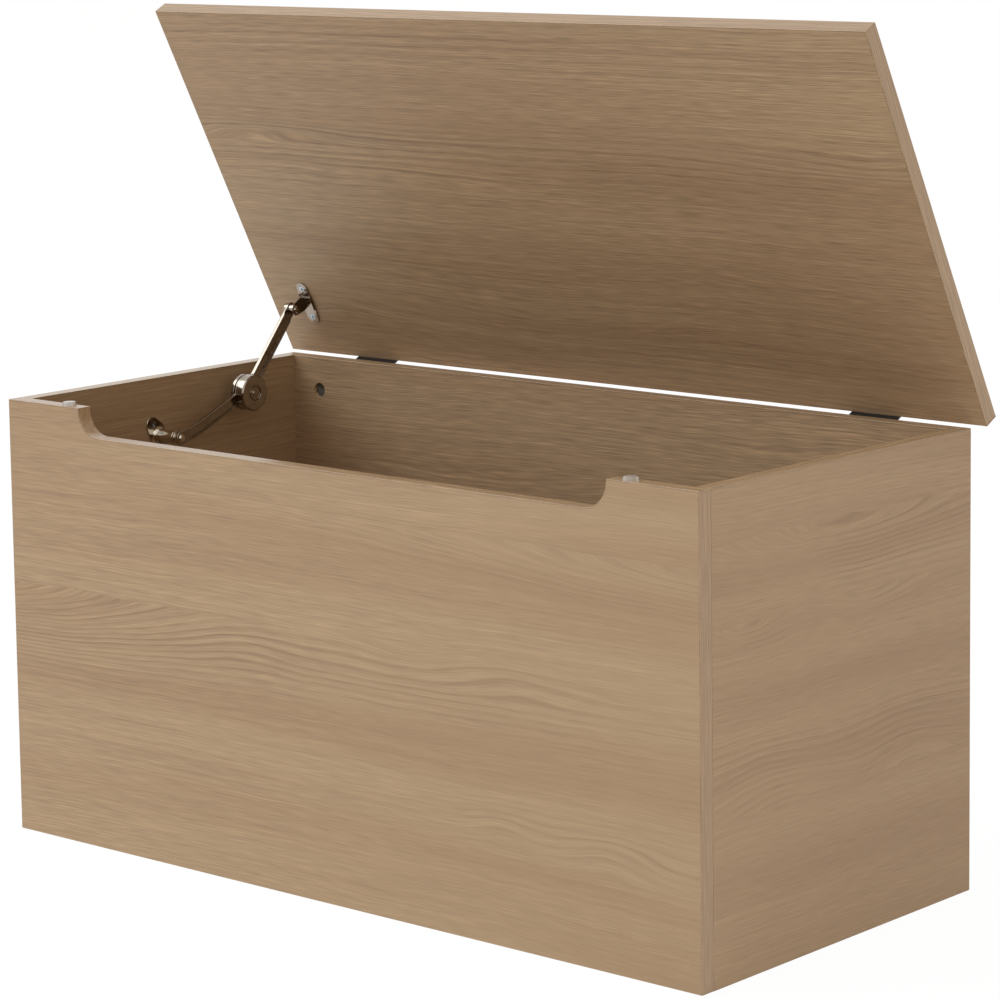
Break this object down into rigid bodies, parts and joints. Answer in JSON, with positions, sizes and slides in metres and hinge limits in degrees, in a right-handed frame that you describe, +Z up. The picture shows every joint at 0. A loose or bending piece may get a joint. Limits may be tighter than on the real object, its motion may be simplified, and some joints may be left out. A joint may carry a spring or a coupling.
{
  "type": "storage chest",
  "caption": "Rectangular wood-effect board storage chest with an overhanging hinged lid, a folding friction lid stay, a long finger cut-out in the front's top edge and clear bumpers.",
  "frame": {"origin": "middle of the box's footprint, on the underside of the base panel, which stands on the floor", "axes": "+Z up, +Y to the back where the hinges are, +X to the right as seen from the front"},
  "size_m": [0.82, 0.4009, 0.7579],
  "materials": {
    "oak_laminate": "oak-effect melamine on particle board, satin",
    "edge_band": "oak-effect edging strip, satin",
    "cam_zinc": "die-cast zinc, dull",
    "zinc_steel": "bright zinc-plated steel",
    "beech_dowel": "raw beech",
    "clear_bumper": "clear soft polyurethane",
    "hinge_black": "black lacquered pressed steel",
    "hinge_screw_black": "black oxide screw",
    "hinge_pin_steel": "blackened steel pin",
    "stay_nickel": "dark nickel-plated pressed steel",
    "stay_bright": "bright nickel-plated steel",
    "spring_steel": "oiled spring steel",
    "friction_plastic": "dark acetal friction washer"
  },
  "bodies": {
    "box": {"front_panel": "oak_laminate", "front_end_bands": "edge_band", "front_top_band": "edge_band", "back_panel": "oak_laminate", "back_top_band": "edge_band", "left_panel": "oak_laminate", "left_back_band": "edge_band", "left_top_band": "edge_band", "right_panel": "oak_laminate", "right_back_band": "edge_band", "right_top_band": "edge_band", "base_panel": "oak_laminate", "cam_locks": "cam_zinc", "cam_bolts": "zinc_steel", "wood_dowels": "beech_dowel", "lid_bumpers": "clear_bumper", "hinge_box_leaf_left": "hinge_black", "hinge_box_leaf_right": "hinge_black", "hinge_box_screws": "hinge_screw_black", "hinge_pins": "hinge_pin_steel", "stay_side_bracket": "stay_nickel", "stay_side_screws": "zinc_steel", "stay_post_washers": "stay_bright"},
    "lid": {"lid_panel": "oak_laminate", "lid_front_band": "edge_band", "lid_rear_band": "edge_band", "lid_end_bands": "edge_band", "hinge_lid_leaf_left": "hinge_black", "hinge_lid_leaf_right": "hinge_black", "hinge_lid_screws": "hinge_screw_black", "stay_lid_plate": "stay_bright", "stay_lid_ear": "stay_nickel", "stay_ear_rivets": "stay_bright", "stay_lid_screws": "zinc_steel", "stay_lid_rivet": "stay_nickel", "stay_lid_washers": "stay_bright"},
    "upper_arm": {"stay_upper_arm": "stay_nickel"},
    "lower_arm": {"stay_lower_arm": "stay_nickel", "stay_side_rivet": "stay_nickel", "hub_cup": "stay_nickel", "hub_disc_springs": "spring_steel", "hub_friction_disc": "friction_plastic", "hub_rivet": "stay_nickel"}
  },
  "joints": [
    {"name": "lid_hinge", "type": "hinge", "parent": "box", "child": "lid", "pos_m": [0, 0.192, 0.3998], "axis": [-1, 0, 0], "range_deg": [-62.6, 0]},
    {"name": "stay_lid_pivot", "type": "hinge", "parent": "lid", "child": "upper_arm", "pos_m": [-0.36935, 0.15902, 0.45321], "axis": [-1, 0, 0], "range_deg": [0, 45.75]},
    {"name": "stay_elbow", "type": "hinge", "parent": "upper_arm", "child": "lower_arm", "pos_m": [-0.3602, 0.08518, 0.3808], "axis": [-1, 0, 0], "range_deg": [0, 60.15]}
  ],
  "couplings": [
    {"joint": "stay_lid_pivot", "follows": "lid_hinge", "ratio": -0.73026},
    {"joint": "stay_elbow", "follows": "lid_hinge", "ratio": -0.96021}
  ]
}
